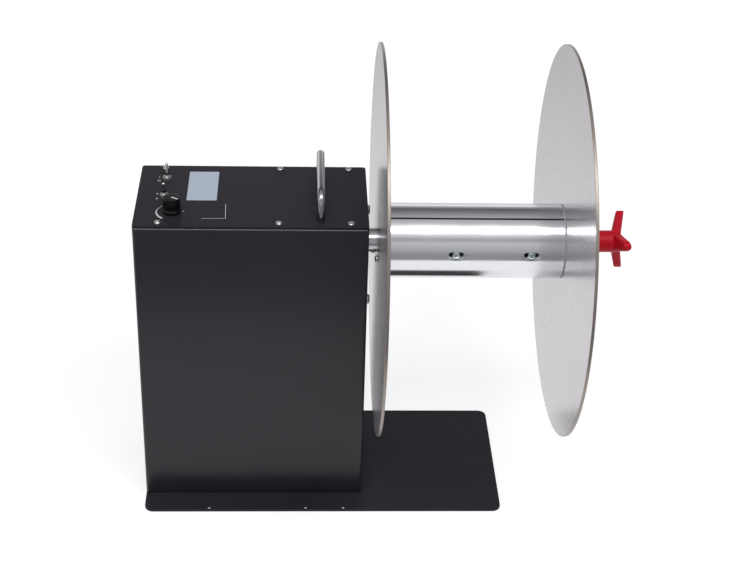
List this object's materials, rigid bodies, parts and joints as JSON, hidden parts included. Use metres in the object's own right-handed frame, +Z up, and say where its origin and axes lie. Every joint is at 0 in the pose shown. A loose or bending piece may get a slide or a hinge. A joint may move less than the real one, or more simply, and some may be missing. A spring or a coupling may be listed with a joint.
{
  "type": "label rewinder",
  "caption": "Powered label rewinder: sheet-steel drive housing on a base plate, spindle with an expanding core between two large disc flanges, wing nut and top controls.",
  "frame": {"origin": "centre of the base plate's underside", "axes": "+X along the spindle from the housing to the wing nut, +Y to the back, +Z up"},
  "size_m": [0.4968, 0.4, 0.4799],
  "materials": {
    "housing_coat": "fine textured black powder coat",
    "lid_coat": "smooth matt black coat",
    "bright_screw": "bright zinc plate",
    "zinc_fastener": "zinc plate",
    "set_screw": "black oxide",
    "handle_steel": "polished",
    "switch_body": "moulded",
    "plated_metal": "nickel plate",
    "black_plastic": "moulded satin",
    "white_inlay": "moulded",
    "drive_aluminium": "milled",
    "turned_steel": "turned",
    "motor_steel": "satin",
    "gear_brass": "hobbed",
    "circuit_board": "solder mask",
    "turned_aluminium": "turned",
    "flange_aluminium": "fine bead blasted and anodised",
    "core_aluminium": "drawn and polished",
    "pressure_steel": "ground",
    "pad_rubber": "hard moulded",
    "red_plastic": "moulded satin"
  },
  "bodies": {
    "chassis": {"base_plate": "housing_coat", "housing_shell": "housing_coat", "base_screws": "zinc_fastener", "base_rivet_nuts": "zinc_fastener", "lid": "lid_coat", "lid_screws": "bright_screw", "lid_rivet_nuts": "zinc_fastener", "carry_handle": "handle_steel", "handle_screws": "zinc_fastener", "power_switch": "switch_body", "direction_switch": "switch_body", "switch_nuts": "plated_metal", "torque_control": "switch_body", "torque_control_nut": "plated_metal", "front_drive_plate": "drive_aluminium", "rear_drive_plate": "drive_aluminium", "drive_pillars": "turned_steel", "drive_plate_screws": "bright_screw", "rear_plate_screws": "zinc_fastener", "front_bearing": "turned_steel", "rear_bearing": "turned_steel", "gear_motor": "motor_steel", "motor_screws": "zinc_fastener", "control_board": "circuit_board", "board_standoffs": "turned_steel", "power_inlet": "black_plastic"},
    "spindle": {"spindle_shaft": "turned_steel", "shaft_collar": "turned_steel", "drive_gear": "gear_brass", "gear_set_screw": "set_screw", "inner_hub": "turned_aluminium", "inner_hub_set_screw": "bright_screw", "inner_flange": "flange_aluminium", "inner_flange_screws": "bright_screw", "inner_cone": "turned_aluminium", "outer_cone": "turned_aluminium", "cone_set_screws": "set_screw", "guide_screws": "bright_screw"},
    "pinion": {"motor_pinion": "gear_brass"},
    "leaf_1": {"core_leaf_1": "core_aluminium"},
    "leaf_2": {"core_leaf_2": "core_aluminium"},
    "leaf_3": {"core_leaf_3": "core_aluminium"},
    "press_plate": {"pressure_plate": "pressure_steel"},
    "loose_flange": {"flange_pad": "pad_rubber", "outer_flange": "flange_aluminium", "outer_hub": "turned_aluminium", "outer_hub_screws": "zinc_fastener"},
    "nut": {"wing_nut": "red_plastic"},
    "knob": {"torque_shaft": "plated_metal", "torque_knob": "black_plastic", "knob_pointer": "white_inlay"},
    "power_toggle": {"power_lever": "plated_metal"},
    "direction_toggle": {"direction_lever": "plated_metal"}
  },
  "joints": [
    {"name": "spindle_spin", "type": "hinge", "parent": "chassis", "child": "spindle", "pos_m": [0, 0.004, 0.28], "axis": [1, 0, 0], "continuous": true},
    {"name": "pinion_spin", "type": "hinge", "parent": "chassis", "child": "pinion", "pos_m": [0, 0.004, 0.244], "axis": [1, 0, 0], "continuous": true},
    {"name": "chuck_release", "type": "slide", "parent": "spindle", "child": "press_plate", "axis": [1, 0, 0], "range_m": [0, 0.005]},
    {"name": "leaf_1_slide", "type": "slide", "parent": "spindle", "child": "leaf_1", "axis": [0.9806, 0.1955, -0.0154], "range_m": [0, 0.00511]},
    {"name": "leaf_2_slide", "type": "slide", "parent": "spindle", "child": "leaf_2", "axis": [0.9806, -0.1111, -0.1616], "range_m": [0, 0.00511]},
    {"name": "leaf_3_slide", "type": "slide", "parent": "spindle", "child": "leaf_3", "axis": [0.9806, -0.0844, 0.177], "range_m": [0, 0.00511]},
    {"name": "flange_off", "type": "slide", "parent": "press_plate", "child": "loose_flange", "axis": [1, 0, 0], "range_m": [0, 0.26]},
    {"name": "nut_turn", "type": "hinge", "parent": "loose_flange", "child": "nut", "pos_m": [0, 0.004, 0.28], "axis": [1, 0, 0], "range_deg": [0, 360]},
    {"name": "torque_turn", "type": "hinge", "parent": "chassis", "child": "knob", "pos_m": [-0.152, -0.0305, 0.33], "axis": [0, 0, 1], "range_deg": [-12, 258]},
    {"name": "power_flip", "type": "hinge", "parent": "chassis", "child": "power_toggle", "pos_m": [-0.162, 0.039, 0.3325], "axis": [1, 0, 0], "range_deg": [0, 24]},
    {"name": "direction_flip", "type": "hinge", "parent": "chassis", "child": "direction_toggle", "pos_m": [-0.162, 0.0015, 0.3325], "axis": [1, 0, 0], "range_deg": [-24, 0]}
  ],
  "couplings": [
    {"joint": "pinion_spin", "follows": "spindle_spin", "ratio": -3},
    {"joint": "nut_turn", "follows": "chuck_release", "rad_per_m": 1256.6},
    {"joint": "leaf_1_slide", "follows": "chuck_release", "ratio": 1.0198},
    {"joint": "leaf_2_slide", "follows": "chuck_release", "ratio": 1.0198},
    {"joint": "leaf_3_slide", "follows": "chuck_release", "ratio": 1.0198}
  ]
}
